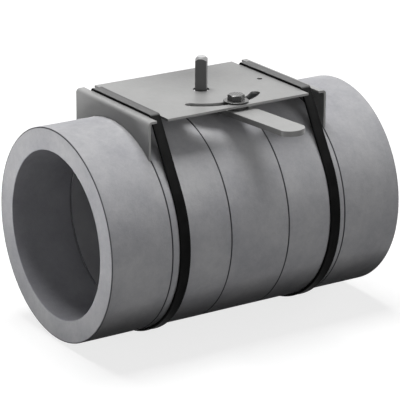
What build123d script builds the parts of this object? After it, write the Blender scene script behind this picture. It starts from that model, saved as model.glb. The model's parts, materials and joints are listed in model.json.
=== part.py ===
"""Insulated butterfly damper for a round air or flue-side duct, with a hand lever.

The duct runs along X and the shaft stands along Z. The origin is where the two cross. A thin steel
casing sits in five foam rings. A bent bracket straps over the crown and carries the arc slot, and the
blade, clamped on a square bar, turns with the lever under the bracket. All sizes are in millimetres.
"""
import os
from math import acos, atan2, cos, degrees, radians, sin, sqrt, tan

from build123d import *

os.makedirs("parts", exist_ok=True)

# Foam rings round the duct
duct_bore = 150.0  # inside diameter of the foam, where the next duct is pushed in
foam_wall = 20.0
sleeve_length = 60.0  # each open end
side_ring_length = 60.0  # the ring under each strap
centre_ring_length = 60.0  # the ring round the shaft
foam_edge = 0.4  # broken edge at the end of each ring
seam_gap = 0.5  # shadow gap in the skin where two rings butt
seam_depth = 3.0

# Steel casing inside the three middle rings
casing_diameter = 148.6
casing_play = 0.15  # radial play in the foam
casing_wall = 0.7

# Bracket bent from sheet, over the crown of the foam
bracket_length = 184.0
bracket_width = 120.0
sheet = 2.0
bend_inside = 1.5
bracket_rise = 11.0  # crown of the foam to the underside of the plate
saddle_play = 0.2  # between the arched flange and the foam
notch_width = 11.0
notch_depth = 13.5
notch_strip = 8.0  # what is left of the plate outside each notch
pin_hole_distance = 62.4  # hole that keeps an actuator from turning
pin_hole_diameter = 5.0

# Straps that hold the bracket down
strap_width = 10.0
strap_thickness = 2.4
strap_corner = 0.8
buckle_length = 13.0
buckle_width = 15.0
buckle_height = 7.0
buckle_angle = -24.0  # seen from the end, below the level of the duct's axis, at the back
tail_length = 14.0

# Square shaft
shaft_side = 10.0
shaft_corner = 0.5
shaft_rise = 30.0  # above the plate
shaft_tip_flat = 3.8  # radius left flat by the turned chamfer
shaft_hole_play = 0.4  # between the bar's corners and the round hole in the plate

# Bearings riveted on the casing, and the journals that turn in them
journal_radius = 8.0
running_clearance = 0.05
axial_play = 0.3
bearing_wall = 4.0
bearing_edge = 0.8
bearing_flange_radius = 15.0
bearing_lug_radius = 5.0
bearing_flange_depth = 3.5
bearing_below_crown = 2.0  # top face of the upper bearing under the crown of the foam
lower_bearing_depth = 13.0
lower_bearing_floor = 2.0
bearing_play = 0.3  # between a bearing and the pocket in the foam
hub_radius = 10.5
bearing_rivet_spacing = 33.0
bearing_rivet_radius = 1.6

# Lever and its clamp screw
swing = 45.0  # each way from square across the duct
lever_rest = 5.2  # where the photograph shows the lever, towards the right-hand end
lever_width = 25.0
lever_thickness = 5.0
lever_reach = 132.5
lever_tip_radius = 13.5
lever_corner = 1.0  # where the round tip meets the straight sides
lever_edge = 0.5
slot_inset = 11.7  # middle of the arc slot to the front edge of the plate
slot_width = 8.5
slide_gap = 0.1  # washers to plate
spacer_thickness = 2.9
washer_diameter = 22.0
washer_thickness = 1.6
screw_diameter = 8.0
screw_play = 0.1
screw_across_flats = 13.0
screw_head_height = 5.3
screw_top_flat = 6.2  # radius left flat by the chamfer on the hexagon
screw_chamfer_angle = 30.0
screw_end_chamfer = 0.8
screw_past_lever = 0.4

# Blade: two steel discs with a rubber disc between them, on one face of the shaft
disc_thickness = 1.0
seal_thickness = 2.0
seal_overhang = 3.2
blade_clearance = 0.3
blade_rivet_count = 8
blade_rivet_inset = 7.7  # from the edge of the discs
blade_rivet_radius = 1.6
rivet_head_radius = 3.0
rivet_head_height = 0.9
hole_play = 0.1

# Saddles that clamp the blade to the shaft
saddle_sheet = 1.5
saddle_length = 16.0
saddle_foot = 13.0
saddle_bend = 1.0
saddle_height = 42.0
clamp_screw_radius = 2.0
clamp_head_radius = 3.5
clamp_head_height = 2.2
clamp_nut_across_flats = 7.0
clamp_nut_height = 3.2
clamp_screw_end = 0.8

# Places worked out from the sizes above
foam_bore = duct_bore / 2
foam_radius = foam_bore + foam_wall
middle_length = centre_ring_length + 2 * side_ring_length
casing_radius = casing_diameter / 2
ring_bore = casing_radius + casing_play
casing_inside = casing_radius - casing_wall

plate_underside = foam_radius + bracket_rise
plate_top = plate_underside + sheet
notch_x = bracket_length / 2 - notch_strip - notch_width / 2
notch_y = bracket_width / 2 - notch_depth
slot_radius = bracket_width / 2 - slot_inset

washer_bottom = plate_top + slide_gap
washer_top = washer_bottom + washer_thickness
spacer_top = plate_underside - slide_gap
lever_top = spacer_top - spacer_thickness
lever_bottom = lever_top - lever_thickness
shaft_top = plate_top + shaft_rise
shaft_reach = shaft_side / 2 * sqrt(2) - shaft_corner * (sqrt(2) - 1)

bearing_bore = journal_radius + running_clearance
bearing_radius = bearing_bore + bearing_wall
bearing_top = foam_radius - bearing_below_crown
flange_face = casing_radius + bearing_flange_depth
lower_journal_end = casing_radius + lower_bearing_depth - lower_bearing_floor - axial_play
rivet_pocket = flange_face + rivet_head_height + bearing_play

# Turn of the moving parts from the closed place, where the blade stands square across the duct
rest_turn = lever_rest - swing
lever_angle = -90.0 + lever_rest
blade_normal = Vector(cos(radians(rest_turn)), sin(radians(rest_turn)), 0)
blade_across = Vector(-sin(radians(rest_turn)), cos(radians(rest_turn)), 0)
near_face = shaft_side / 2
seal_face = near_face + disc_thickness
far_disc_face = seal_face + seal_thickness
far_face = far_disc_face + disc_thickness
seal_radius = sqrt((casing_inside - blade_clearance) ** 2 - far_disc_face**2)
disc_radius = seal_radius - seal_overhang
blade_rivet_circle = disc_radius - blade_rivet_inset
saddle_screw_across = shaft_side / 2 + saddle_sheet + saddle_foot / 2
saddle_places = [
    (side * saddle_screw_across, height) for height in (saddle_height, -saddle_height) for side in (-1, 1)
]
lever_direction = Vector(cos(radians(lever_angle)), sin(radians(lever_angle)), 0)
screw_place = lever_direction * slot_radius
rivet_spots = [(-bearing_rivet_spacing / 2, 0), (bearing_rivet_spacing / 2, 0)]


def blade_plane(distance):
    """Plane that lies flat on the blade, at a distance from the shaft's axis."""
    return Plane(origin=blade_normal * distance, x_dir=blade_across, z_dir=blade_normal)


def bearing_flange(play):
    """Two-lug flange outline of a bearing, or with play the pocket that takes it."""
    Circle(bearing_flange_radius + play)
    with Locations(*rivet_spots):
        Circle(bearing_lug_radius + play)
    make_hull()


# Shallow gaps in the skin, centred on the four seams
with BuildPart() as seam_gaps:
    for seam_place in (-middle_length / 2, -centre_ring_length / 2, centre_ring_length / 2, middle_length / 2):
        with BuildSketch(Plane.YZ.offset(seam_place)):
            Circle(foam_radius)
            Circle(foam_radius - seam_depth, mode=Mode.SUBTRACT)
        extrude(amount=seam_gap / 2, both=True)

# The foam: two open sleeves at the ends and two rings under the straps
foam_places = {
    "left_sleeve": (-middle_length / 2 - sleeve_length, sleeve_length, foam_bore),
    "left_ring": (-middle_length / 2, side_ring_length, ring_bore),
    "right_ring": (centre_ring_length / 2, side_ring_length, ring_bore),
    "right_sleeve": (middle_length / 2, sleeve_length, foam_bore),
}
for foam_name, (start, length, inside_radius) in foam_places.items():
    with BuildPart() as foam_ring:
        with BuildSketch(Plane.YZ.offset(start)):
            Circle(foam_radius)
            Circle(inside_radius, mode=Mode.SUBTRACT)
        extrude(amount=length)
        add(seam_gaps.part, mode=Mode.SUBTRACT)
        outer_edges = foam_ring.edges().filter_by(GeomType.CIRCLE).sort_by(SortBy.RADIUS)[-2:]
        chamfer(outer_edges, length=foam_edge)
    foam_ring.part.label = foam_name
    export_step(foam_ring.part, f"parts/{foam_name}.step")

# The centre ring of foam, bored for the upper bearing and pocketed for the lower one
with BuildPart() as centre_ring:
    with BuildSketch(Plane.YZ.offset(-centre_ring_length / 2)):
        Circle(foam_radius)
        Circle(ring_bore, mode=Mode.SUBTRACT)
    extrude(amount=centre_ring_length)
    add(seam_gaps.part, mode=Mode.SUBTRACT)
    outer_edges = centre_ring.edges().filter_by(GeomType.CIRCLE).sort_by(SortBy.RADIUS)[-2:]
    chamfer(outer_edges, length=foam_edge)
    with BuildSketch(Plane.XY):
        Circle(bearing_radius + bearing_play)
    extrude(amount=foam_radius, mode=Mode.SUBTRACT)
    with BuildSketch(Plane.XY):
        bearing_flange(bearing_play)
    extrude(amount=rivet_pocket, both=True, mode=Mode.SUBTRACT)
    with BuildSketch(Plane.XY):
        Circle(bearing_radius + bearing_play)
    extrude(amount=-(casing_radius + lower_bearing_depth + bearing_play), mode=Mode.SUBTRACT)
centre_ring.part.label = "centre_ring"
export_step(centre_ring.part, "parts/centre_ring.step")

# The casing, a rolled steel tube with a hole at each bearing
with BuildPart() as casing_tube:
    with BuildSketch(Plane.YZ.offset(-middle_length / 2)):
        Circle(casing_radius)
        Circle(casing_inside, mode=Mode.SUBTRACT)
    extrude(amount=middle_length)
    with BuildSketch(Plane.XY):
        Circle(bearing_bore)
        with Locations(*rivet_spots):
            Circle(bearing_rivet_radius + hole_play)
    extrude(amount=casing_radius, both=True, mode=Mode.SUBTRACT)
casing_tube.part.label = "casing_tube"
export_step(casing_tube.part, "parts/casing_tube.step")

# The upper bearing: a flanged bush whose foot is hollowed to sit on the casing
with BuildPart() as upper_bearing:
    with BuildSketch(Plane.XY):
        bearing_flange(0)
    extrude(amount=flange_face)
    with BuildSketch(Plane.XY):
        Circle(bearing_radius)
    extrude(amount=bearing_top)
    with BuildSketch(Plane.XY):
        Circle(bearing_bore)
        with Locations(*rivet_spots):
            Circle(bearing_rivet_radius + hole_play)
    extrude(amount=bearing_top, mode=Mode.SUBTRACT)
    with BuildSketch(Plane.YZ):
        Circle(casing_radius)
    extrude(amount=bearing_rivet_spacing, both=True, mode=Mode.SUBTRACT)
    chamfer(upper_bearing.edges().group_by(Axis.Z)[-1].sort_by(SortBy.RADIUS)[-1], length=bearing_edge)
upper_bearing.part.label = "upper_bearing"
export_step(upper_bearing.part, "parts/upper_bearing.step")

# The lower bearing, the same foot with a blind bore
with BuildPart() as lower_bearing:
    with BuildSketch(Plane.XY):
        bearing_flange(0)
    extrude(amount=-flange_face)
    with BuildSketch(Plane.XY):
        Circle(bearing_radius)
    extrude(amount=-(casing_radius + lower_bearing_depth))
    with BuildSketch(Plane.XY):
        Circle(bearing_bore)
    extrude(amount=-(lower_journal_end + axial_play), mode=Mode.SUBTRACT)
    with BuildSketch(Plane.XY):
        with Locations(*rivet_spots):
            Circle(bearing_rivet_radius + hole_play)
    extrude(amount=-flange_face, mode=Mode.SUBTRACT)
    with BuildSketch(Plane.YZ):
        Circle(casing_radius)
    extrude(amount=bearing_rivet_spacing, both=True, mode=Mode.SUBTRACT)
    chamfer(lower_bearing.edges().group_by(Axis.Z)[0], length=bearing_edge)
lower_bearing.part.label = "lower_bearing"
export_step(lower_bearing.part, "parts/lower_bearing.step")

# Rivets that hold both bearings, set from inside so that the air side stays low
rivet_inside = casing_inside - hole_play
with BuildPart() as bearing_rivets:
    for face in (1, -1):
        with BuildSketch(Plane.XY.offset(face * (rivet_inside - rivet_head_height))):
            with Locations(*rivet_spots):
                Circle(rivet_head_radius)
        extrude(amount=face * rivet_head_height)
        with BuildSketch(Plane.XY.offset(face * (rivet_inside - rivet_head_height))):
            with Locations(*rivet_spots):
                Circle(bearing_rivet_radius)
        extrude(amount=face * (flange_face - rivet_inside + rivet_head_height))
        with BuildSketch(Plane.XY.offset(face * flange_face)):
            with Locations(*rivet_spots):
                Circle(rivet_head_radius)
        extrude(amount=face * rivet_head_height)
bearing_rivets.part.label = "bearing_rivets"
export_step(bearing_rivets.part, "parts/bearing_rivets.step")

# The bracket: a plate with two flanges, arched to the foam, and four notches for the straps
flange_reach = sqrt((foam_radius + saddle_play) ** 2 - (bracket_width / 2) ** 2)
half_length = bracket_length / 2
with BuildPart() as bracket:
    with BuildSketch(Plane.XZ.offset(-bracket_width / 2)):
        with BuildLine():
            outside = FilletPolyline(
                (-half_length, flange_reach - sheet),
                (-half_length, plate_top),
                (half_length, plate_top),
                (half_length, flange_reach - sheet),
                radius=bend_inside + sheet,
            )
            inside = FilletPolyline(
                (-half_length + sheet, flange_reach - sheet),
                (-half_length + sheet, plate_underside),
                (half_length - sheet, plate_underside),
                (half_length - sheet, flange_reach - sheet),
                radius=bend_inside,
            )
            Line(outside @ 0, inside @ 0)
            Line(outside @ 1, inside @ 1)
        make_face()
    extrude(amount=bracket_width)
    with BuildSketch(Plane.YZ):
        Circle(foam_radius + saddle_play)
    extrude(amount=bracket_length, both=True, mode=Mode.SUBTRACT)
    with BuildSketch(Plane.XY.offset(plate_underside)):
        for notch_side in (-1, 1):
            for notch_end in (-1, 1):
                with Locations((notch_side * notch_x, notch_end * (notch_y + notch_depth / 2))):
                    Rectangle(notch_width, notch_depth)
        Circle(shaft_reach + shaft_hole_play)
        with Locations((pin_hole_distance, 0)):
            Circle(pin_hole_diameter / 2)
        with BuildLine():
            slot_line = CenterArc((0, 0), slot_radius, -90 - swing, 2 * swing)
        SlotArc(slot_line, slot_width)
    extrude(amount=sheet, mode=Mode.SUBTRACT)
bracket.part.label = "bracket"
export_step(bracket.part, "parts/bracket.step")


def tangent_angle(across, height, radius):
    """Angle on a circle round the duct where a straight run from a point at its back touches it."""
    return degrees(atan2(height, across) - acos(radius / sqrt(across**2 + height**2)))


# The straps: over the plate, down through the notches and round the foam, closed by a moulded buckle
strap_inside = foam_radius + saddle_play
strap_outside = strap_inside + strap_thickness
strap_lean = radians(90 - tangent_angle(notch_y, plate_top, strap_inside)) / 2
strap_top = plate_top + strap_thickness
strap_shoulder = notch_y + strap_thickness * tan(strap_lean)
for strap_name, strap_x in {"left_strap": -notch_x, "right_strap": notch_x}.items():
    with BuildPart() as strap:
        for level, shoulder, radius, action in (
            (strap_top, strap_shoulder, strap_outside, Mode.ADD),
            (plate_top, notch_y, strap_inside, Mode.SUBTRACT),
        ):
            touch = tangent_angle(shoulder, level, radius)
            with BuildSketch(Plane.YZ.offset(strap_x - strap_width / 2)):
                with BuildLine():
                    below = CenterArc((0, 0), radius, 180 - touch, 180 + 2 * touch)
                    Polyline(below @ 0, (-shoulder, level), (shoulder, level), below @ 1)
                make_face()
            extrude(amount=strap_width, mode=action)
        top_corners = strap.edges().filter_by(Axis.X).group_by(Axis.Z)[-1]
        fillet(top_corners, radius=strap_corner)
        buckle = Plane(
            origin=(
                strap_x,
                (strap_inside + buckle_height / 2) * cos(radians(buckle_angle)),
                (strap_inside + buckle_height / 2) * sin(radians(buckle_angle)),
            ),
            x_dir=(1, 0, 0),
            z_dir=(0, cos(radians(buckle_angle)), sin(radians(buckle_angle))),
        )
        with BuildSketch(buckle):
            RectangleRounded(buckle_width, buckle_length, strap_corner)
        extrude(amount=buckle_height / 2, both=True)
        with BuildSketch(buckle.offset(strap_thickness)):
            with Locations((0, tail_length / 2)):
                Rectangle(strap_width, tail_length)
        extrude(amount=strap_thickness / 2)
        with BuildSketch(Plane.YZ.offset(strap_x - buckle_width)):
            Circle(strap_inside)
        extrude(amount=2 * buckle_width, mode=Mode.SUBTRACT)
    strap.part.label = strap_name
    export_step(strap.part, f"parts/{strap_name}.step")

# The shaft: a square bar with a turned chamfer on top
with BuildPart() as shaft:
    with BuildSketch(Plane.XY.offset(-lower_journal_end)):
        with Locations(Rotation(0, 0, rest_turn)):
            RectangleRounded(shaft_side, shaft_side, shaft_corner)
    extrude(amount=shaft_top + lower_journal_end)
    with BuildSketch(Plane.XZ):
        with BuildLine():
            Polyline(
                (0, -lower_journal_end),
                (shaft_side, -lower_journal_end),
                (shaft_side, shaft_top - (shaft_side - shaft_tip_flat)),
                (shaft_tip_flat, shaft_top),
                (0, shaft_top),
                close=True,
            )
        make_face()
    revolve(axis=Axis.Z, mode=Mode.INTERSECT)
shaft.part.label = "shaft"
export_step(shaft.part, "parts/shaft.step")

# The journals: round sleeves with a square bore, the upper one with a hub that carries the lever
journal_start = casing_radius + axial_play
with BuildPart() as upper_journal:
    with BuildSketch(Plane.XY.offset(journal_start)):
        Circle(journal_radius)
    extrude(amount=bearing_top - journal_start + axial_play)
    with BuildSketch(Plane.XY.offset(bearing_top + axial_play)):
        Circle(hub_radius)
    extrude(amount=lever_bottom - bearing_top - axial_play)
    with BuildSketch(Plane.XY.offset(journal_start)):
        with Locations(Rotation(0, 0, rest_turn)):
            Rectangle(shaft_side, shaft_side)
    extrude(amount=lever_bottom - journal_start, mode=Mode.SUBTRACT)
upper_journal.part.label = "upper_journal"
export_step(upper_journal.part, "parts/upper_journal.step")

with BuildPart() as lower_journal:
    with BuildSketch(Plane.XY.offset(-lower_journal_end)):
        Circle(journal_radius)
        with Locations(Rotation(0, 0, rest_turn)):
            Rectangle(shaft_side, shaft_side, mode=Mode.SUBTRACT)
    extrude(amount=lower_journal_end - journal_start)
lower_journal.part.label = "lower_journal"
export_step(lower_journal.part, "parts/lower_journal.step")

# The lever: a flat bar on the square of the shaft, tapped for the clamp screw
tip_centre = lever_reach - lever_tip_radius
tip_corner = tip_centre + sqrt(lever_tip_radius**2 - (lever_width / 2) ** 2)
lever_plane = Plane(origin=(0, 0, lever_bottom), x_dir=lever_direction, z_dir=(0, 0, 1))
with BuildPart() as lever:
    with BuildSketch(lever_plane):
        with BuildLine():
            near_side = Line((0, -lever_width / 2), (tip_corner, -lever_width / 2))
            ThreePointArc(near_side @ 1, (lever_reach, 0), (tip_corner, lever_width / 2))
            Line((tip_corner, lever_width / 2), (0, lever_width / 2))
            CenterArc((0, 0), lever_width / 2, 90, 180)
        make_face()
        with Locations((slot_radius, 0)):
            Circle(screw_diameter / 2 + screw_play, mode=Mode.SUBTRACT)
    extrude(amount=lever_thickness)
    fillet(lever.edges().filter_by(Axis.Z).sort_by(SortBy.DISTANCE)[-2:], radius=lever_corner)
    fillet(lever.faces().sort_by(Axis.Z)[-1].outer_wire().edges(), radius=lever_edge)
    with BuildSketch(Plane.XY.offset(lever_bottom)):
        with Locations(Rotation(0, 0, rest_turn)):
            Rectangle(shaft_side, shaft_side)
    extrude(amount=lever_thickness, mode=Mode.SUBTRACT)
lever.part.label = "lever"
export_step(lever.part, "parts/lever.step")

# The clamp screw and its washers, above and below the slotted plate
chamfer_drop = (screw_across_flats - screw_top_flat) * tan(radians(screw_chamfer_angle))
with BuildPart() as lock_screw:
    with BuildSketch(Plane.XY.offset(washer_top)):
        with Locations((screw_place.X, screw_place.Y)):
            RegularPolygon(screw_across_flats / 2, 6, major_radius=False)
    extrude(amount=screw_head_height)
    head_plane = Plane(origin=(screw_place.X, screw_place.Y, washer_top), x_dir=(1, 0, 0), z_dir=(0, -1, 0))
    with BuildSketch(head_plane):
        with BuildLine():
            Polyline(
                (0, 0),
                (screw_across_flats, 0),
                (screw_across_flats, screw_head_height - chamfer_drop),
                (screw_top_flat, screw_head_height),
                (0, screw_head_height),
                close=True,
            )
        make_face()
    revolve(axis=Axis((screw_place.X, screw_place.Y, 0), (0, 0, 1)), mode=Mode.INTERSECT)
    with BuildSketch(Plane.XY.offset(lever_bottom - screw_past_lever)):
        with Locations((screw_place.X, screw_place.Y)):
            Circle(screw_diameter / 2)
    extrude(amount=washer_top - lever_bottom + screw_past_lever)
    chamfer(lock_screw.edges().group_by(Axis.Z)[0], length=screw_end_chamfer)
lock_screw.part.label = "lock_screw"
export_step(lock_screw.part, "parts/lock_screw.step")

for ring_name, (bottom, thickness) in {
    "lock_washer": (washer_bottom, washer_thickness),
    "lever_spacer": (lever_top, spacer_thickness),
}.items():
    with BuildPart() as flat_ring:
        with BuildSketch(Plane.XY.offset(bottom)):
            with Locations((screw_place.X, screw_place.Y)):
                Circle(washer_diameter / 2)
                Circle(screw_diameter / 2 + 2 * screw_play, mode=Mode.SUBTRACT)
        extrude(amount=thickness)
    flat_ring.part.label = ring_name
    export_step(flat_ring.part, f"parts/{ring_name}.step")

# The blade: a disc on each side of the rubber, drilled for the rivets and the clamp screws
for layer_name, (face, thickness, radius) in {
    "near_disc": (near_face, disc_thickness, disc_radius),
    "blade_seal": (seal_face, seal_thickness, seal_radius),
    "far_disc": (far_disc_face, disc_thickness, disc_radius),
}.items():
    with BuildPart() as layer:
        with BuildSketch(blade_plane(face)):
            Circle(radius)
            with PolarLocations(blade_rivet_circle, blade_rivet_count, start_angle=180 / blade_rivet_count):
                Circle(blade_rivet_radius + hole_play, mode=Mode.SUBTRACT)
            with Locations(*saddle_places):
                Circle(clamp_screw_radius + hole_play, mode=Mode.SUBTRACT)
        extrude(amount=thickness)
    layer.part.label = layer_name
    export_step(layer.part, f"parts/{layer_name}.step")

with BuildPart() as blade_rivets:
    for start, radius, reach in (
        (near_face - rivet_head_height, rivet_head_radius, rivet_head_height),
        (near_face, blade_rivet_radius, far_face - near_face),
        (far_face, rivet_head_radius, rivet_head_height),
    ):
        with BuildSketch(blade_plane(start)):
            with PolarLocations(blade_rivet_circle, blade_rivet_count, start_angle=180 / blade_rivet_count):
                Circle(radius)
        extrude(amount=reach)
blade_rivets.part.label = "blade_rivets"
export_step(blade_rivets.part, "parts/blade_rivets.step")

# The saddles: bent strips that hug the other three faces of the bar
half_bar = shaft_side / 2
foot_end = half_bar + saddle_sheet + saddle_foot
for saddle_name, level in {"upper_saddle": saddle_height, "lower_saddle": -saddle_height}.items():
    section = Plane(
        origin=(0, 0, level - saddle_length / 2), x_dir=blade_across, z_dir=(0, 0, 1)
    )
    with BuildPart() as saddle:
        with BuildSketch(section):
            with BuildLine():
                outer_skin = FilletPolyline(
                    (-foot_end, -near_face + saddle_sheet),
                    (-half_bar - saddle_sheet, -near_face + saddle_sheet),
                    (-half_bar - saddle_sheet, half_bar + saddle_sheet),
                    (half_bar + saddle_sheet, half_bar + saddle_sheet),
                    (half_bar + saddle_sheet, -near_face + saddle_sheet),
                    (foot_end, -near_face + saddle_sheet),
                    radius=saddle_bend,
                )
                Polyline(outer_skin @ 1, (foot_end, -near_face), (half_bar, -near_face))
                Polyline(
                    (half_bar, -near_face),
                    (half_bar, half_bar),
                    (-half_bar, half_bar),
                    (-half_bar, -near_face),
                    (-foot_end, -near_face),
                    outer_skin @ 0,
                )
            make_face()
        extrude(amount=saddle_length)
        with BuildSketch(blade_plane(near_face)):
            with Locations((-saddle_screw_across, level), (saddle_screw_across, level)):
                Circle(clamp_screw_radius + hole_play)
        extrude(amount=-saddle_sheet, mode=Mode.SUBTRACT)
    saddle.part.label = saddle_name
    export_step(saddle.part, f"parts/{saddle_name}.step")

with BuildPart() as clamp_screws:
    for start, radius, reach in (
        (near_face - saddle_sheet - clamp_head_height, clamp_head_radius, clamp_head_height),
        (
            near_face - saddle_sheet,
            clamp_screw_radius,
            far_face - near_face + saddle_sheet + clamp_nut_height + clamp_screw_end,
        ),
    ):
        with BuildSketch(blade_plane(start)):
            with Locations(*saddle_places):
                Circle(radius)
        extrude(amount=reach)
clamp_screws.part.label = "clamp_screws"
export_step(clamp_screws.part, "parts/clamp_screws.step")

with BuildPart() as clamp_nuts:
    with BuildSketch(blade_plane(far_face)):
        with Locations(*saddle_places):
            RegularPolygon(clamp_nut_across_flats / 2, 6, major_radius=False)
            Circle(clamp_screw_radius, mode=Mode.SUBTRACT)
    extrude(amount=clamp_nut_height)
clamp_nuts.part.label = "clamp_nuts"
export_step(clamp_nuts.part, "parts/clamp_nuts.step")
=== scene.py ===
# %% [markdown]
# # An insulated duct damper, dressed for a picture
# The solids of the damper come ready made and in place. This lesson adds what a solid can't say: the skin
# of the foam, the satin of the sheet metal, the drawn bar, the moulded straps, the light and the camera.
# Everything is in metres. The duct runs along X, the shaft stands along Z, and they cross at the origin.

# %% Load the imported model
import json
import math

import bpy
import numpy as np
from mathutils import Matrix, Vector


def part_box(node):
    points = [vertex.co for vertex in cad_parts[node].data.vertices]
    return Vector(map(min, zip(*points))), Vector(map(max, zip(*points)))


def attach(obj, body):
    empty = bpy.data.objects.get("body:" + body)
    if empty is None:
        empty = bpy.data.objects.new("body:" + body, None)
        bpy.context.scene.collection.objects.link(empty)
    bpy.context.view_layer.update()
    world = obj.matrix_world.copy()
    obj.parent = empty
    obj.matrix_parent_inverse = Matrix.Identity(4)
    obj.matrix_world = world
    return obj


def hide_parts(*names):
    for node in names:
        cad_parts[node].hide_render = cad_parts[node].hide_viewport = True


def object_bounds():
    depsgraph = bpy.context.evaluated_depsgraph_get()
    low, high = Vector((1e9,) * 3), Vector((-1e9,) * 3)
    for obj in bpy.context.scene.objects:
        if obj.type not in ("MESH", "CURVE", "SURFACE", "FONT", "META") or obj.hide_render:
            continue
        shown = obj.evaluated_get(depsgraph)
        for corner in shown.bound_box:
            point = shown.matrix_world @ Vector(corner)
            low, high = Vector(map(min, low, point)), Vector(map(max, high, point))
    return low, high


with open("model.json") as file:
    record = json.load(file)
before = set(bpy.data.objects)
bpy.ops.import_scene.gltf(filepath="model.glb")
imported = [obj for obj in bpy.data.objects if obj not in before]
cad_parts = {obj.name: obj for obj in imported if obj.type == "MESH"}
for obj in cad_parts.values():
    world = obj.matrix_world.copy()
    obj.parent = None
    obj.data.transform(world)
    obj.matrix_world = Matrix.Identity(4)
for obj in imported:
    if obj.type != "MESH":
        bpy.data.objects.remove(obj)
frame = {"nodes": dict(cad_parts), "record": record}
cad_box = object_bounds()
nodes = frame["nodes"]
mm = 0.001

# %% [markdown]
# ## Two small helpers for materials
# A material here is a graph of nodes that ends in one Principled shader. Patterns read object coordinates,
# which are metres in the damper's own frame, so a grain of one millimetre is a grain of one millimetre.


# %% Node helpers
def add(tree, kind, inputs=None, **settings):
    """Adds a node. An input that is a socket is linked, and any other value is set."""
    node = tree.nodes.new(kind)
    for key, value in settings.items():
        setattr(node, key, value)
    for key, value in (inputs or {}).items():
        if isinstance(value, bpy.types.NodeSocket):
            tree.links.new(value, node.inputs[key])
        else:
            node.inputs[key].default_value = value
    return node


def new_material(name, **sockets):
    """Returns a material, its node tree, its shader and the place of each point, in metres."""
    made = bpy.data.materials.new(name)
    made.use_nodes = True
    tree = made.node_tree
    shader = tree.nodes["Principled BSDF"]
    for key, value in sockets.items():
        shader.inputs[key.replace("_", " ")].default_value = value
    place = add(tree, "ShaderNodeTexCoord").outputs["Object"]
    return made, tree, shader, place


def noise(tree, place, grain, detail=3.0, roughness=0.55):
    """Noise from 0 to 1 whose patches are about grain metres wide."""
    return add(
        tree,
        "ShaderNodeTexNoise",
        {"Vector": place, "Scale": 1 / grain, "Detail": detail, "Roughness": roughness},
    ).outputs["Fac"]


def span(tree, value, low, high, start=0.3, end=0.7):
    """Maps a pattern's start to low and its end to high."""
    return add(
        tree,
        "ShaderNodeMapRange",
        {"Value": value, "From Min": start, "From Max": end, "To Min": low, "To Max": high},
    ).outputs["Result"]


def tint(tree, factor, dark, light):
    """Mixes two colours by a factor from 0 to 1."""
    mix = add(tree, "ShaderNodeMix", data_type="RGBA")
    tree.links.new(factor, mix.inputs["Factor"])
    mix.inputs["A"].default_value = (*dark, 1)
    mix.inputs["B"].default_value = (*light, 1)
    return mix.outputs["Result"]


def blended(tree, factor, first, second, kind="FLOAT"):
    """Goes from the first to the second, two sockets or values, as the factor goes from 0 to 1."""
    mix = add(tree, "ShaderNodeMix", data_type=kind)
    sockets = {"FLOAT": (0, 2, 3, 0), "RGBA": (0, 6, 7, 2)}[kind]
    for index, value in zip(sockets, (factor, first, second)):
        if isinstance(value, bpy.types.NodeSocket):
            tree.links.new(value, mix.inputs[index])
        else:
            mix.inputs[index].default_value = value
    return mix.outputs[sockets[3]]


def facing_up(tree, start, end):
    """Goes from 0 to 1 as the normal's height goes from start to end, so it is 1 on faces that look up."""
    normal = add(tree, "ShaderNodeNewGeometry").outputs["Normal"]
    return span(tree, add(tree, "ShaderNodeSeparateXYZ", {0: normal}).outputs["Z"], 0, 1, start, end)


def bump(tree, height, depth, normal=None):
    """Turns a height pattern from 0 to 1 into a bump that is depth metres high."""
    inputs = {"Height": height, "Distance": depth, "Strength": 1.0}
    if normal is not None:
        inputs["Normal"] = normal
    return add(tree, "ShaderNodeBump", inputs).outputs["Normal"]


# %% [markdown]
# ## Measures of the hose
# Foam and casing are cut and bored to a few round numbers. The materials need them as well as the shapes do,
# because a cut line and a darker bore are found by their place alone.

# %% Measures
ring_length = 60 * mm
foam_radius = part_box("left_sleeve")[1].z
duct_bore_radius, casing_bore_radius = 75 * mm, 74.45 * mm
tube_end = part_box("casing_tube")[1].x
print("foam radius", round(foam_radius, 4), "tube end", round(tube_end, 4))

# %% [markdown]
# ## Foam
# Closed-cell foam has a matt skin with cells of about a millimetre, and broad soft patches where the skin
# took up a little more or less pigment. The patches go in the colour, the cells in a shallow bump. Inside
# the bore the foam is painted darker, a painted shade for the hollow, and the knife leaves a dark line where
# it cuts the skin. Both are known from the place alone: the distance to the duct's axis, and the distance
# along it to the nearest cut, which a ping-pong of the length gives, because all five rings are as long.

# %% Foam material
patch_grain, skin_grain, fibre_grain, cell_size = 45 * mm, 6 * mm, 1.6 * mm, 1.1 * mm
skin_depth, cell_depth = 0.25 * mm, 0.05 * mm
# A cut line is full up to cut_core from the knife's cut, and gone at cut_fade. In the bore only the share
# inner_share of it shows, up to inner_reach past the tube's end, and nothing of it past inner_fade.
cut_core, cut_fade = 0.35 * mm, 1.0 * mm
inner_share, inner_reach, inner_fade = 0.45, 10 * mm, 20 * mm


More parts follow.
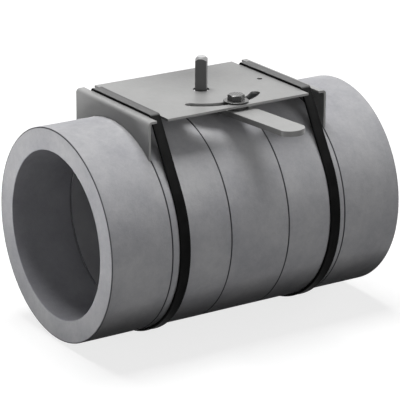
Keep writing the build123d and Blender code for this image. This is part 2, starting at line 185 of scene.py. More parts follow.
def foam_material():
    """Mid grey closed-cell foam with a painted shade in the bore. The factors from 0 to 1 say where it is
    bore, skin or cut line.
    """
    made, tree, shader, place = new_material("foam_skin", Roughness=0.85, Specular_IOR_Level=0.03)
    patches = noise(tree, place, patch_grain, detail=4, roughness=0.6)
    grain = noise(tree, place, skin_grain, detail=3)
    fibre = noise(tree, place, fibre_grain, detail=2)
    mixed = blended(tree, 0.16, blended(tree, 0.25, patches, grain), fibre)
    skin_colour = tint(tree, span(tree, mixed, 0, 1, 0.31, 0.69), (0.365, 0.365, 0.39), (0.54, 0.54, 0.548))
    # Painted shade: the bore gets a darker tone than the skin.
    shaded_bore_tone = tint(tree, span(tree, mixed, 0, 1), (0.29, 0.29, 0.315), (0.41, 0.41, 0.435))
    split = add(tree, "ShaderNodeSeparateXYZ", {0: place}).outputs
    flat = add(tree, "ShaderNodeCombineXYZ", {"Y": split["Y"], "Z": split["Z"]}).outputs[0]
    radius = add(tree, "ShaderNodeVectorMath", {0: flat}, operation="LENGTH").outputs["Value"]
    along = add(tree, "ShaderNodeMath", {0: split["X"]}, operation="ABSOLUTE").outputs[0]
    half = ring_length / 2
    past_seam = add(tree, "ShaderNodeMath", {0: along, 1: half}, operation="SUBTRACT").outputs[0]
    from_edge = add(tree, "ShaderNodeMath", {0: past_seam, 1: half}, operation="PINGPONG").outputs[0]
    at_edge = span(tree, from_edge, 1, 0, cut_core, cut_fade)
    at_skin = span(tree, radius, 0, 1, foam_radius - 1.4 * mm, foam_radius - 0.6 * mm)
    bore = span(tree, radius, 1, 0, duct_bore_radius + 0.2 * mm, duct_bore_radius + 0.8 * mm)
    inner = span(tree, along, inner_share, 0, tube_end + inner_reach, tube_end + inner_fade)
    inside = add(tree, "ShaderNodeMath", {0: bore, 1: inner}, operation="MULTIPLY").outputs[0]
    shows = add(tree, "ShaderNodeMath", {0: at_skin, 1: inside}, operation="MAXIMUM").outputs[0]
    cut_line = add(tree, "ShaderNodeMath", {0: at_edge, 1: shows}, operation="MULTIPLY").outputs[0]
    skin_or_shaded_bore = blended(tree, bore, skin_colour, shaded_bore_tone, "RGBA")
    cut = blended(tree, cut_line, skin_or_shaded_bore, (0.07, 0.07, 0.075, 1), "RGBA")
    tree.links.new(cut, shader.inputs["Base Color"])
    cells = add(tree, "ShaderNodeTexVoronoi", {"Vector": place, "Scale": 1 / cell_size}).outputs["Distance"]
    skin = bump(tree, cells, cell_depth)
    tree.links.new(bump(tree, grain, skin_depth, skin), shader.inputs["Normal"])
    return made


# %% [markdown]
# ## Metals
# Each metal piece is steel with its own surface: rolled and zinc coated sheet, a ground lever, a drawn bar.
# One function makes them all, because they differ only in tone, gloss, grain direction and painted shade on
# their sides.

# %% Metal material
# Middle and reach of the painted shade on the back of the plate.
back_shade_middle, back_shade_reach = (20 * mm, 50 * mm, 109 * mm), 75 * mm


def metal_material(name, tone, metallic, roughness, grain, stretch, depth, side_shade=1.0, back_shade=1.0):
    """Steel with a grain that is stretched along the axes by the three numbers of stretch.

    Faces that don't look up are painted darker, to a given share of the tone: a painted shade on the sides.
    The tone falls to a given share round the middle of the plate's back edge: a painted shade.
    """
    made, tree, shader, place = new_material(name, Metallic=metallic, Specular_IOR_Level=0.3)
    drawn = add(tree, "ShaderNodeMapping", {"Vector": place, "Scale": stretch}).outputs["Vector"]
    lines = noise(tree, drawn, grain, detail=5, roughness=0.7)
    clouds = noise(tree, place, 0.02, detail=3)
    # Painted shade round the middle of the plate's back edge.
    if back_shade < 1:
        away = add(tree, "ShaderNodeVectorMath", {0: place, 1: back_shade_middle}, operation="DISTANCE")
        back_shaded = span(tree, away.outputs["Value"], back_shade, 1.0, 0, back_shade_reach)
    cloud = span(tree, clouds, 0, 1)
    # Painted shade: the full tone on faces that look up, a darker share of it on the sides.
    top_tone, side_tone = (
        tint(tree, cloud, *(tuple(c * share * part for c in tone) for part in (0.96, 1.04)))
        for share in (1.0, side_shade)
    )
    colour = blended(tree, facing_up(tree, 0.5, 0.95), side_tone, top_tone, "RGBA")
    if back_shade < 1:
        colour = add(tree, "ShaderNodeVectorMath", {0: colour, "Scale": back_shaded}, operation="SCALE").outputs[0]
    tree.links.new(colour, shader.inputs["Base Color"])
    tree.links.new(span(tree, lines, roughness - 0.06, roughness + 0.06), shader.inputs["Roughness"])
    tree.links.new(bump(tree, lines, depth), shader.inputs["Normal"])
    return made


# %% [markdown]
# ## The tube in the bore
# The thin tube inside the middle rings is the same sheet, but only its inner wall is ever seen, far down the
# bore. It has lost its gloss there, and its cut ends are painted dark, a painted shade, so no bright ring
# shows in the bore.

# %% Tube material
def tube_material():
    """Dull zinc sheet, painted darker where the distance along the duct says that it is a cut end: a painted
    shade.
    """
    gloss = {"Metallic": 0.1, "Roughness": 0.6, "Specular_IOR_Level": 0.1}
    made, tree, shader, place = new_material("zinc_tube", **gloss)
    clouds = noise(tree, place, 0.02, detail=3)
    wall = tint(tree, span(tree, clouds, 0, 1), (0.32, 0.32, 0.335), (0.38, 0.38, 0.395))
    x = add(tree, "ShaderNodeSeparateXYZ", {0: place}).outputs["X"]
    along = add(tree, "ShaderNodeMath", {0: x}, operation="ABSOLUTE").outputs[0]
    cut_end = span(tree, along, 0, 1, tube_end - 0.3 * mm, tube_end - 0.05 * mm)
    # Painted shade on the cut ends, so that they show no lit ring.
    tree.links.new(blended(tree, cut_end, wall, (0.12, 0.12, 0.125, 1), "RGBA"), shader.inputs["Base Color"])
    tree.links.new(bump(tree, noise(tree, place, 0.001), 0.02 * mm), shader.inputs["Normal"])
    return made


# %% [markdown]
# ## Plastic and rubber
# The straps are black moulded nylon, and the seal is rubber. Both are dark, so nearly all that shows of
# them is their sheen, and a fine noise in the roughness keeps that sheen from looking like paint. The
# straps' tops also get a painted sheen in their colour.

# %% Plastic material
def plastic_material(name, tone, roughness, grain, depth, top_sheen=0.0):
    """Moulded plastic or rubber with a fine leathery grain. Faces that look up can be painted lighter, a
    painted sheen.
    """
    made, tree, shader, place = new_material(name, Specular_IOR_Level=0.008)
    texture = noise(tree, place, grain, detail=4)
    clouds = noise(tree, place, 0.012, detail=2)
    dark = tuple(c * 0.8 for c in tone)
    light = tuple(c * 1.2 for c in tone)
    clean = tint(tree, span(tree, clouds, 0, 1), dark, light)
    # Painted sheen: faces that look up are painted lighter.
    sheened = blended(tree, facing_up(tree, 0.5, 1.0), clean, (top_sheen, top_sheen, top_sheen, 1), "RGBA")
    tree.links.new(sheened if top_sheen else clean, shader.inputs["Base Color"])
    tree.links.new(span(tree, texture, roughness - 0.08, roughness + 0.08), shader.inputs["Roughness"])
    tree.links.new(bump(tree, texture, depth), shader.inputs["Normal"])
    return made


# Each metal's share for faces that don't look up paints shade on its sides.
finishes = {
    "foam": foam_material(),
    "galvanised_sheet": metal_material(
        "zinc_sheet",
        tone=(0.34, 0.34, 0.337),
        metallic=0.25,
        roughness=0.42,
        grain=1.2 * mm,
        stretch=(1, 0.15, 1),
        depth=0.02 * mm,
        side_shade=0.72,
        # painted shade round the back edge of the plate
        back_shade=0.6,
    ),
    "lever_steel": metal_material(
        "ground_flat",
        tone=(0.38, 0.38, 0.375),
        metallic=0.25,
        roughness=0.42,
        grain=0.8 * mm,
        stretch=(1, 0.1, 1),
        depth=0.02 * mm,
        side_shade=0.4,
    ),
    "bar_steel": metal_material(
        "drawn_bar",
        tone=(0.55, 0.55, 0.55),
        metallic=0.3,
        roughness=0.4,
        grain=0.6 * mm,
        stretch=(1, 1, 0.05),
        depth=0.03 * mm,
        side_shade=0.165,
    ),
    "zinc_steel": metal_material(
        "plated_steel",
        tone=(0.17, 0.17, 0.168),
        metallic=0.6,
        roughness=0.28,
        grain=1 * mm,
        stretch=(1, 1, 1),
        depth=0.01 * mm,
        side_shade=0.25,
    ),
    "rivet_metal": metal_material(
        "rivet_skin",
        tone=(0.24, 0.24, 0.24),
        metallic=0.4,
        roughness=0.5,
        grain=1 * mm,
        stretch=(1, 1, 1),
        depth=0.02 * mm,
    ),
    # The straps' tops are painted lighter, a painted sheen.
    "strap_plastic": plastic_material(
        "strap_nylon", tone=(0.012, 0.012, 0.012), roughness=0.5, grain=0.8 * mm, depth=0.03 * mm, top_sheen=0.19
    ),
    "bearing_plastic": plastic_material(
        "bearing_acetal", tone=(0.62, 0.61, 0.57), roughness=0.45, grain=1 * mm, depth=0.02 * mm
    ),
    "seal_rubber": plastic_material(
        "seal_skin", tone=(0.02, 0.02, 0.02), roughness=0.6, grain=1 * mm, depth=0.03 * mm
    ),
}
for part in frame["record"]["subparts"]:
    worn = nodes[part["node"]].data.materials
    worn.clear()
    worn.append(finishes[part["material_slot"]])
nodes["casing_tube"].data.materials[0] = tube_material()

# %% [markdown]
# ## New pieces are grids of points
# A few pieces want more than a solid gives: foam that is a little uneven and lies flat under the straps, a
# moulded strap, a screw with its thread, and washers with soft rims. Each is a function of two numbers, one
# along or round the piece and one across it, worked out for the whole grid at once.

# %% From a grid to a mesh
def grid_faces(rows, columns, close_rows, close_columns):
    """Quads that join each point (row, column) to the next row and the next column."""
    row = np.arange(rows if close_rows else rows - 1)[:, None]
    column = np.arange(columns if close_columns else columns - 1)[None, :]
    row_next, column_next = (row + 1) % rows, (column + 1) % columns
    corners = (row * columns + column, row_next * columns + column)
    corners += (row_next * columns + column_next, row * columns + column_next)
    return np.stack(corners, axis=-1).reshape(-1, 4)


def shell(grid, close_rows=True, close_columns=True, capped=False):
    """Points and faces of a closed grid. With capped, the first and last rows are closed by a fan each.

    The signed volume under the faces says whether they point out, and they are turned round if they don't.
    """
    rows, columns = grid.shape[:2]
    points = grid.reshape(-1, 3)
    faces = grid_faces(rows, columns, close_rows, close_columns).tolist()
    if capped:
        middles = np.stack([grid[0].mean(axis=0), grid[-1].mean(axis=0)])
        first, last = rows * columns, rows * columns + 1
        points = np.concatenate([points, middles])
        column = np.arange(columns)
        column_next = (column + 1) % columns
        faces += np.stack([np.full(columns, first), column, column_next], axis=1).tolist()
        end = (rows - 1) * columns
        faces += np.stack([np.full(columns, last), end + column_next, end + column], axis=1).tolist()
    a, b, c = (points[[f[k] for f in faces]] for k in range(3))
    volume = np.einsum("ij,ij->i", a, np.cross(b, c)).sum()
    d = points[[f[-1] for f in faces]]
    volume += np.einsum("ij,ij->i", a, np.cross(c, d)).sum()
    return points, [f[::-1] for f in faces] if volume < 0 else faces


def piece(name, shells, stands_for, sharp=40.0):
    """One smooth mesh from shells. It rides with the node that it stands for, and takes its finish."""
    points, faces, start = [], [], 0
    for shell_points, shell_faces in shells:
        points.append(shell_points)
        faces += [[start + corner for corner in face] for face in shell_faces]
        start += len(shell_points)
    mesh = bpy.data.meshes.new(name)
    mesh.from_pydata(np.concatenate(points).tolist(), [], faces)
    mesh.shade_smooth()
    mesh.set_sharp_from_angle(angle=math.radians(sharp))
    made = bpy.data.objects.new(name, mesh)
    bpy.context.scene.collection.objects.link(made)
    slot = slots[stands_for]
    mesh.materials.append(finishes[slot])
    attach(made, body_of[stands_for])
    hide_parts(stands_for)
    print(name, len(mesh.vertices), "points", len(mesh.polygons), "faces on", body_of[stands_for])
    return made


slots = {part["node"]: part["material_slot"] for part in frame["record"]["subparts"]}
body_of = {node: body for body, held in frame["record"]["behaviour"]["bodies"].items() for node in held}

# %% [markdown]
# ## Sections with rounded corners
# Nothing real has a knife edge. The next function rounds every corner of a convex outline by an arc, and
# adds two points close to each arc's ends, so that smooth shading stays in the corner and flats stay flat.


# %% Rounded outline
def rounded(corners, radius, steps=5, run=2, hold=0.3 * mm):
    """Outline round corners that are given against the clock.

    Each corner becomes an arc, centre plus radius times (cos, sin), from the normal of the side before it to
    the normal of the side after it. Each straight side then gets run points, the outer two hold metres from
    the arcs.
    """
    corners = np.asarray(corners, float)
    along = np.roll(corners, -1, axis=0) - corners
    along /= np.linalg.norm(along, axis=1, keepdims=True)
    before = np.roll(along, 1, axis=0)
    start = np.arctan2(-before[:, 0], before[:, 1])
    cross = before[:, 0] * along[:, 1] - before[:, 1] * along[:, 0]
    turn = np.arctan2(cross, (before * along).sum(axis=1))
    reach = (radius * np.tan(turn / 2))[:, None]
    inward = np.stack([-before[:, 1], before[:, 0]], axis=1)
    centre = corners - before * reach + inward * radius
    angle = start[:, None] + turn[:, None] * np.linspace(0, 1, steps)
    arcs = centre[:, None] + radius * np.stack([np.cos(angle), np.sin(angle)], axis=-1)
    leave, arrive = arcs[:, -1], np.roll(arcs[:, 0], -1, axis=0)
    length = np.linalg.norm(arrive - leave, axis=1)
    edge = np.minimum(hold / length, 0.3)[:, None]
    share = edge + (1 - 2 * edge) * np.linspace(0, 1, run)
    runs = leave[:, None] + (arrive - leave)[:, None] * share[..., None]
    return np.concatenate([arcs, runs], axis=1).reshape(-1, 2)


# %% [markdown]
# ## Foam rings
# Each ring is cut from a thick foam hose. The knife leaves a flat face, the skin rolls over a little at the
# edge, and the ring is never quite round. Under a strap the foam lies flat against the band.
# The middle ring stays the solid, because it is bored for the bearings.

# %% Foam ring
strap_low, strap_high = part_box("left_strap")
strap_middle, strap_half = abs(strap_low.x + strap_high.x) / 2, 5 * mm
lip, seam_half = 0.6 * mm, 0.25 * mm
foam_swell = 0.15 * mm


def unevenness(x, angle):
    """How far the skin stands out: four slow waves along and round the hose, added up."""
    waves = ((2, 31, 0.3), (3, -47, 1.9), (5, 23, 4.1), (9, 71, 2.6))
    return sum(np.sin(turns * angle + along * x + phase) for turns, along, phase in waves) / len(waves)


def foam_ring(node, bore, left_gap, right_gap, steps_round=288):
    """Revolves a rounded rectangle round X.

    Its outer side moves in and out by the unevenness times the swell, and meets the strap along a bell curve
    with a flat top across the strap's width.
    """
    low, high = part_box(node)
    x_start, x_end = low.x + left_gap, high.x - right_gap
    corners = [(x_start, bore), (x_end, bore), (x_end, foam_radius), (x_start, foam_radius)]
    section = rounded(corners, lip, run=26)
    angle = np.linspace(0, 2 * np.pi, steps_round, endpoint=False)[:, None]
    x, radius = section[:, 0][None, :], section[:, 1][None, :]
    outer = np.clip((radius - (foam_radius - 2 * lip)) / lip, 0, 1)
    pressed = np.exp(-(((np.abs(x) - strap_middle) / strap_half) ** 4))
    swell = foam_swell * (unevenness(x, angle) * (1 - pressed) + pressed)
    radius = radius + outer * swell
    grid = np.stack([x + 0 * angle, radius * np.cos(angle), radius * np.sin(angle)], axis=-1)
    piece("soft_" + node, [shell(grid)], node)


foam_ring("left_sleeve", duct_bore_radius, 0.0, seam_half)
foam_ring("left_ring", casing_bore_radius, seam_half, seam_half)
foam_ring("right_ring", casing_bore_radius, seam_half, seam_half)
foam_ring("right_sleeve", duct_bore_radius, seam_half, 0.0)

# %% [markdown]
# ## Straps
# A strap is a band with rounded edges and a shallow channel down its back. Its path is closed: flat over the
# plate, round a shoulder, straight down to the foam, and round below. The buckle is a moulded block at the
# back, a superellipsoid, and the cut end of the band stands out of it.

# %% Strap
strap_reach, strap_thick = 95.17 * mm, 2.4 * mm
shoulder_y, plate_top = 46.5 * mm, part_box("bracket")[1].z
shoulder_bend, band_edge = 2.0 * mm, 0.6 * mm
channel_depth, channel_half, channel_soft = 0.25 * mm, 3.1 * mm, 0.18 * mm


def strap_path(steps_round=200):
    """Middle line of the band and its outward angle: (y, z, angle) round the duct, against the clock.

    The straight run touches the circle at the angle of the shoulder, less the arc cosine of the circle's
    radius over the shoulder's distance.
    """
    middle = strap_reach + strap_thick / 2
    touch = math.atan2(plate_top, shoulder_y) - math.acos(strap_reach / math.hypot(shoulder_y, plate_top))
    level = plate_top + strap_thick / 2
    corner_y = (middle - level * math.sin(touch)) / math.cos(touch)
    back = shoulder_bend * math.tan((math.pi / 2 - touch) / 2)
    turned = np.linspace(touch, math.pi / 2, 9)
    bend_y, bend_z = corner_y - back, level - shoulder_bend
    bend = np.stack([np.cos(turned), np.sin(turned)], axis=1) * shoulder_bend + (bend_y, bend_z)
    shoulder = np.column_stack([bend, turned])
    flat = np.linspace(1, -1, 14)[1:-1]
    top = np.stack([flat * bend_y, 0 * flat + level, 0 * flat + math.pi / 2], axis=1)
    below = np.linspace(math.pi - touch, 2 * math.pi + touch, steps_round)
    ring = np.stack([middle * np.cos(below), middle * np.sin(below), below], axis=1)
    other = shoulder[::-1] * (-1, 1, 1)
    other[:, 2] = math.pi - other[:, 2]
    return np.concatenate([ring, shoulder, top, other])


def band_section():
    """Rounded rectangle, width by thickness, whose outer face sinks between two raised edges.

    The sink is the channel's depth over 1 plus e to the power of how far past the channel's half width a
    point is, in units of its soft edge.
    """
    half, thick = strap_half, strap_thick / 2
    outline = rounded([(-half, -thick), (half, -thick), (half, thick), (-half, thick)], band_edge, run=16)
    sink = channel_depth / (1 + np.exp((np.abs(outline[:, 0]) - channel_half) / channel_soft))
    outline[:, 1] -= np.where(outline[:, 1] > 0.9 * thick, sink, 0)
    return outline


def block(half_sizes, power, rows=28, columns=48):
    """Superellipsoid: sizes times signed powers of (cos v cos u, cos v sin u, sin v)."""
    v = np.linspace(-np.pi / 2, np.pi / 2, rows + 2)[1:-1, None]
    u = np.linspace(0, 2 * np.pi, columns, endpoint=False)[None, :]
    ball = np.stack([np.cos(v) * np.cos(u), np.cos(v) * np.sin(u), np.sin(v) + 0 * u], axis=-1)
    return np.sign(ball) * np.abs(ball) ** power * np.asarray(half_sizes)


def at_back(grid, x, angle, lift):
    """Turns a grid of (across, along, up) to the place on the ring at an angle, lifted off the foam."""
    out = np.array([0, math.cos(angle), math.sin(angle)])
    along = np.array([0, -math.sin(angle), math.cos(angle)])
    across = np.array([1.0, 0, 0])
    return grid @ np.stack([across, along, out]) + (strap_reach + lift) * out + (x, 0, 0)


buckle_angle = math.radians(-24)
buckle_size, buckle_softness = np.array([15, 13, 7]) * mm, 0.16
tail_length, tail_taper, tail_thin = 14 * mm, 0.1, 0.45
buckle_inside, tail_inside = 0.998, 0.999


def strap(node, x):
    """The band, its buckle and its tail, as three shells of one piece."""
    path, section = strap_path(), band_section()
    y, z, angle = (path[:, k][:, None] for k in range(3))
    across, up = section[:, 0][None, :], section[:, 1][None, :]
    band = np.stack([x + across + 0 * y, y + up * np.cos(angle), z + up * np.sin(angle)], axis=-1)
    buckle = block(buckle_size / 2 * buckle_inside, buckle_softness)
    buckle = at_back(buckle, x, buckle_angle, buckle_size[2] / 2)
    run = np.linspace(0, 1, 12)[:, None]
    end = np.sqrt(np.clip(1 - np.clip((run - 1 + tail_taper) / tail_taper, 0, 1) ** 2, 0.05, 1))
    wide, deep = across * tail_inside * end, up * tail_thin * end
    tail = np.stack([wide, 0 * across - run * tail_length, deep], axis=-1)
    tail_lift = buckle_size[2] / 2 + strap_thick + strap_thick / 4
    tail = at_back(tail, x, buckle_angle, tail_lift)
    shells = [shell(band), shell(buckle, False, True, True), shell(tail, False, True, True)]
    return piece("moulded_" + node, shells, node)


strap("left_strap", -strap_middle)
strap("right_strap", strap_middle)

# %% [markdown]
# ## Clamp screw
# A hexagon head is a prism cut by a cone, which leaves the curved bevels that every bolt shows. Below it the
# thread is a ridge that climbs by one pitch in a turn, so the radius is a function of height and angle.

# %% Clamp screw
screw_low, screw_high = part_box("lock_screw")
washer_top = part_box("lock_washer")[1].z
screw_x, screw_y = (screw_low.x + screw_high.x) / 2, (screw_low.y + screw_high.y) / 2
across_flats, head_flat, head_slope = 13 * mm, 6.2 * mm, math.tan(math.radians(30))
shank_radius, pitch, thread_depth, screw_end = 4 * mm, 1.25 * mm, 0.5 * mm, 0.8 * mm


def hexagon(angle):
    """Distance to the side of a hexagon: half its width over the cosine of the angle to the nearest flat."""
    nearest = (angle + np.pi / 6) % (np.pi / 3) - np.pi / 6
    return across_flats / 2 / np.cos(nearest)


def screw_grid(columns=96):
    """Rows from the top of the head down to the tip; columns go round.

    Head: flat, then the cone where it cuts the prism, then the flats. Shank: its radius less the thread's
    depth times a rounded triangle wave of height over pitch less the angle over a turn.
    """
    angle = np.linspace(0, 2 * np.pi, columns, endpoint=False)[None, :]
    side = hexagon(angle)
    share = np.array([0.0, 0.02, 0.3, 0.6, 0.9, 1.0])[:, None]
    bevel_radius = head_flat + (side - head_flat) * share
    bevel = np.stack([bevel_radius, screw_high.z - (bevel_radius - head_flat) * head_slope], axis=-1)
    disc_radius = np.array([0.05, 2, 4, 6.0])[:, None] * mm + 0 * angle
    disc = np.stack([disc_radius, screw_high.z + 0 * disc_radius], axis=-1)
    fall = np.array([0.04, 0.3, 0.7, 0.95])[:, None]
    skirt_top = bevel[-1:, :, 1]
    skirt = np.stack([side + 0 * fall, skirt_top + (washer_top - skirt_top) * fall], axis=-1)
    shrink = np.array([0.0, 0.15, 0.5])[:, None] * mm
    seat = np.stack([side - shrink, washer_top + 0 * shrink + 0 * side], axis=-1)
    shank_end = screw_low.z + screw_end
    height = np.linspace(washer_top, shank_end, 150)[:, None]
    wave = np.abs(((height / pitch - angle / (2 * np.pi)) % 1) * 2 - 1)
    run_in = np.clip((washer_top - height) / (2 * mm), 0, 1)
    cut = thread_depth * (0.5 - 0.5 * np.cos(np.pi * wave)) * run_in
    shank = np.stack([shank_radius - cut, height + 0 * angle], axis=-1)
    tip_radius = np.array([3.6, 3.25, 3.2, 1.5, 0.05])[:, None] * mm
    tip_fall = np.array([0.4, 0.75, 0.8, 0.8, 0.8])[:, None] * mm
    tip_radius = np.minimum(tip_radius + 0 * angle, shank[-1:, :, 0])
    tip = np.stack([tip_radius, shank_end - tip_fall + 0 * angle], axis=-1)
    rows = np.concatenate([disc, bevel, skirt, seat, shank, tip])
    radius, level = rows[..., 0], rows[..., 1]
    return np.stack([screw_x + radius * np.cos(angle), screw_y + radius * np.sin(angle), level], axis=-1)


piece("threaded_lock_screw", [shell(screw_grid(), False, True, True)], "lock_screw", sharp=28)


# %% [markdown]
# ## Washers
# A stamped washer has one soft edge and one sharp one. Here both are soft, which is what catches the light.

# %% Washer
hole_radius, rim_radius = 4.2 * mm, 0.35 * mm


def washer(node, steps_round=128):
    """Revolves a rounded rectangle round the screw."""
    low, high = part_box(node)
    rim = (high.x - low.x) / 2
    corners = [(hole_radius, low.z), (rim, low.z), (rim, high.z), (hole_radius, high.z)]
    section = rounded(corners, rim_radius)
    angle = np.linspace(0, 2 * np.pi, steps_round, endpoint=False)[:, None]
    radius, level = section[:, 0][None, :], section[:, 1][None, :]
    x, y = screw_x + radius * np.cos(angle), screw_y + radius * np.sin(angle)
    piece("stamped_" + node, [shell(np.stack([x, y, level + 0 * angle], axis=-1))], node)


washer("lock_washer")
washer("lever_spacer")

# %% [markdown]
# ## Floor and background
# The floor is pale and catches the damper's shadow. What the camera, a reflection or glass sees of it is
# lifted to white by a little glow of its own, and what a diffuse bounce sees is dark, so that the underside
# of the duct falls off into shade.

# %% Floor
floor_half = 8.0
floor_level = cad_box[0].z
floor_mesh = bpy.data.meshes.new("floor")
signs = ((-1, -1), (1, -1), (1, 1), (-1, 1))
floor_corners = [(sx * floor_half, sy * floor_half, floor_level) for sx, sy in signs]
floor_mesh.from_pydata(floor_corners, [], [(0, 1, 2, 3)])
floor = bpy.data.objects.new("floor", floor_mesh)
bpy.context.scene.collection.objects.link(floor)


def seen_ray(tree):
    """1 for a ray that shows the background: from the camera, a reflection or through glass."""
    path = add(tree, "ShaderNodeLightPath").outputs
    either = add(
        tree, "ShaderNodeMath", {0: path["Is Camera Ray"], 1: path["Is Glossy Ray"]}, operation="MAXIMUM"
    ).outputs[0]
    return add(
        tree, "ShaderNodeMath", {0: either, 1: path["Is Transmission Ray"]}, operation="MAXIMUM"
    ).outputs[0]


def floor_material(shadow_share, glow, bounce):
    """Pale to the eye, dark to a diffuse bounce."""
    made = bpy.data.materials.new("pale_floor")
    made.use_nodes = True
    tree = made.node_tree
    tree.nodes.remove(tree.nodes["Principled BSDF"])
    pale = add(tree, "ShaderNodeBsdfDiffuse", {"Color": (shadow_share,) * 3 + (1,)}).outputs[0]
    lit = add(tree, "ShaderNodeEmission", {"Color": (1, 1, 1, 1), "Strength": glow}).outputs[0]
    seen = add(tree, "ShaderNodeAddShader", {0: pale, 1: lit}).outputs[0]
    hidden = add(tree, "ShaderNodeBsdfDiffuse", {"Color": (bounce,) * 3 + (1,)}).outputs[0]
    mix = add(tree, "ShaderNodeMixShader", {0: seen_ray(tree), 1: hidden, 2: seen}).outputs[0]
    tree.links.new(mix, tree.nodes["Material Output"].inputs["Surface"])
    return made


floor_mesh.materials.append(floor_material(shadow_share=0.30, glow=0.78, bounce=0.04))
print("floor at", round(floor_level, 4))

# %% [markdown]
# ## Light
# A large softbox overhead gives the top its brightness, one in front lifts the side of the duct, a faint
# one on the camera's side fills the shadows, and weak ones behind and on the right keep the far sides
# readable when the damper is looked at from there. Each level is the brightness that a white card facing
# the box would have, so the power follows from the distance: a card at d metres needs level times pi
# squared times d squared.

# %% Softboxes
flag_passed = bpy.data.collections.new("flag_passed")


def softbox(name, direction, distance, size, level):
    """A square lamp that faces the damper from a direction and shines past the flag."""
    lamp = bpy.data.lights.new(name, "AREA")
    lamp.shape = "SQUARE"
    lamp.size = size
    lamp.energy = level * math.pi**2 * distance**2
    holder = bpy.data.objects.new(name, lamp)
    holder.location = Vector(direction).normalized() * distance
    holder.rotation_euler = Vector(direction).to_track_quat("Z", "Y").to_euler()
    holder.light_linking.blocker_collection = flag_passed
    bpy.context.scene.collection.objects.link(holder)
    print(name, round(lamp.energy, 2), "W")
    return holder


softbox("light_top", (0.0, 0.18, 1.0), distance=2.0, size=1.0, level=1.05)
front = softbox("light_front", (0.1, -1.0, 0.08), distance=2.2, size=1.2, level=0.385)
softbox("light_camera_side", (-0.45, -0.74, 0.50), distance=2.6, size=1.2, level=0.07)
softbox("light_back", (0.15, 1.0, 0.08), distance=2.2, size=0.7, level=0.40)
softbox("light_right", (1.0, 0.1, 0.08), distance=2.2, size=0.7, level=0.48)


# %% [markdown]
# A photographer keeps light off the lower edge of a round thing with a flag, a black card that stands in
# front of it. This one is low and near, out of the picture for the camera and for reflections, and it lets
# the belly of the duct roll off into shade. Light linking keeps it honest: of all lamps only the front one
# is held back by the card, and that lamp skips the floor, so the card leaves no line there.

# %% Flag in front
def flag(name, y, low, high, half_length):
    """A black card above the floor, from low to high, that only casts a shadow."""
    print(name, "from", low, "to", high, "m above the floor")
    mesh = bpy.data.meshes.new(name)
    ends = ((-half_length, low), (half_length, low), (half_length, high), (-half_length, high))
    mesh.from_pydata([(x, y, floor_level + z) for x, z in ends], [], [(0, 1, 2, 3)])
    card = bpy.data.materials.new(name)
    card.use_nodes = True
    card.node_tree.nodes["Principled BSDF"].inputs["Base Color"].default_value = (0.01, 0.01, 0.01, 1)
    mesh.materials.append(card)
    made = bpy.data.objects.new(name, mesh)
    bpy.context.scene.collection.objects.link(made)
    made.visible_camera = made.visible_glossy = made.visible_transmission = False
    made.visible_diffuse = False
    return made


card = flag("flag_front", y=-0.15, low=0.012, high=0.055, half_length=0.35)
flag_passed.objects.link(card)
flag_passed.collection_objects[0].light_linking.link_state = "EXCLUDE"
floor_skipped = bpy.data.collections.new("floor_skipped")
floor_skipped.objects.link(floor)
floor_skipped.collection_objects[0].light_linking.link_state = "EXCLUDE"
front.light_linking.blocker_collection = None
front.light_linking.receiver_collection = floor_skipped


# %% [markdown]
# The open end of the duct needs its own light, one that doesn't touch the bracket. A low strip with a
# honeycomb grid does it: it stands near the floor and looks slightly up, so the end face catches it, the
# crown of the sleeve shades the bracket from it, and the grid lets the lower edge of the face fall off.

# %% Gridded strip for the open end
def gridded_strip(name, place, aim, width, height, grid_angle, level, reach):
    """A low lamp whose grid narrows its beam. The level is that of a white card at the reach."""
    lamp = bpy.data.lights.new(name, "AREA")
    lamp.shape = "RECTANGLE"
    lamp.size, lamp.size_y = width, height
    lamp.spread = math.radians(grid_angle)
    lamp.energy = level * math.pi**2 * reach**2
    holder = bpy.data.objects.new(name, lamp)
    holder.location = place
    holder.rotation_euler = (Vector(place) - Vector(aim)).to_track_quat("Z", "Y").to_euler()
    holder.light_linking.blocker_collection = flag_passed
    bpy.context.scene.collection.objects.link(holder)
    print(name, round(lamp.energy, 3), "W")


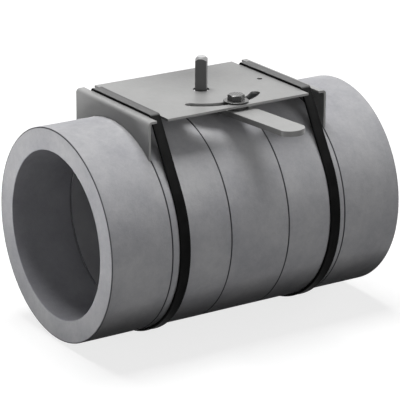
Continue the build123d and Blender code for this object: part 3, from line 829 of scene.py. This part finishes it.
gridded_strip(
    "light_open_end",
    place=(-0.60, 0.05, -0.05),
    aim=(-0.15, 0.0, 0.06),
    width=0.30,
    height=0.06,
    grid_angle=60,
    level=0.135,
    reach=0.45,
)

# %% [markdown]
# ## World
# The world is white where the camera or a reflection sees it, and nearly dark where it would light the
# damper, so that only the lamps shape it.


# %% World
def world_light(ambient):
    """White where it is seen, and as dim as ambient where it lights."""
    world = bpy.data.worlds.new("studio")
    bpy.context.scene.world = world
    world.use_nodes = True
    tree = world.node_tree
    strength = add(tree, "ShaderNodeMapRange", {"Value": seen_ray(tree), "To Min": ambient, "To Max": 1.0})
    tree.nodes["Background"].inputs["Color"].default_value = (1, 1, 1, 1)
    tree.links.new(strength.outputs["Result"], tree.nodes["Background"].inputs["Strength"])


world_light(0.02)

# %% [markdown]
# ## Camera
# The photograph was taken with a long lens from the left, a little above. The yaw, pitch and roll come from
# fitting the two end circles and the plate, and the camera stands back by its distance along that direction.

# %% Camera
yaw, pitch, roll = math.radians(-33.447), math.radians(18.970), math.radians(0.393)
camera_distance = 2.18894
camera_aside, camera_up = -0.33 * mm, 4.74 * mm
focal_pixels, picture_pixels, sensor = 2451.3, 400, 36.0

back = Vector((math.sin(yaw) * math.cos(pitch), -math.cos(yaw) * math.cos(pitch), math.sin(pitch)))
level_right = Vector((math.cos(yaw), math.sin(yaw), 0))
level_up = back.cross(level_right)
right = math.cos(roll) * level_right + math.sin(roll) * level_up
up = math.cos(roll) * level_up - math.sin(roll) * level_right
lens = bpy.data.cameras.new("camera")
lens.sensor_width = sensor
lens.lens = focal_pixels / picture_pixels * sensor
lens.clip_start, lens.clip_end = 0.05, 60
camera = bpy.data.objects.new("camera", lens)
bpy.context.scene.collection.objects.link(camera)
camera.location = back * camera_distance + right * camera_aside + up * camera_up
camera.rotation_euler = Matrix((right, up, back)).transposed().to_euler()
bpy.context.scene.camera = camera
bpy.context.scene.view_settings.view_transform = "Standard"
print("camera", [round(c, 3) for c in camera.location], "lens", round(lens.lens, 1))
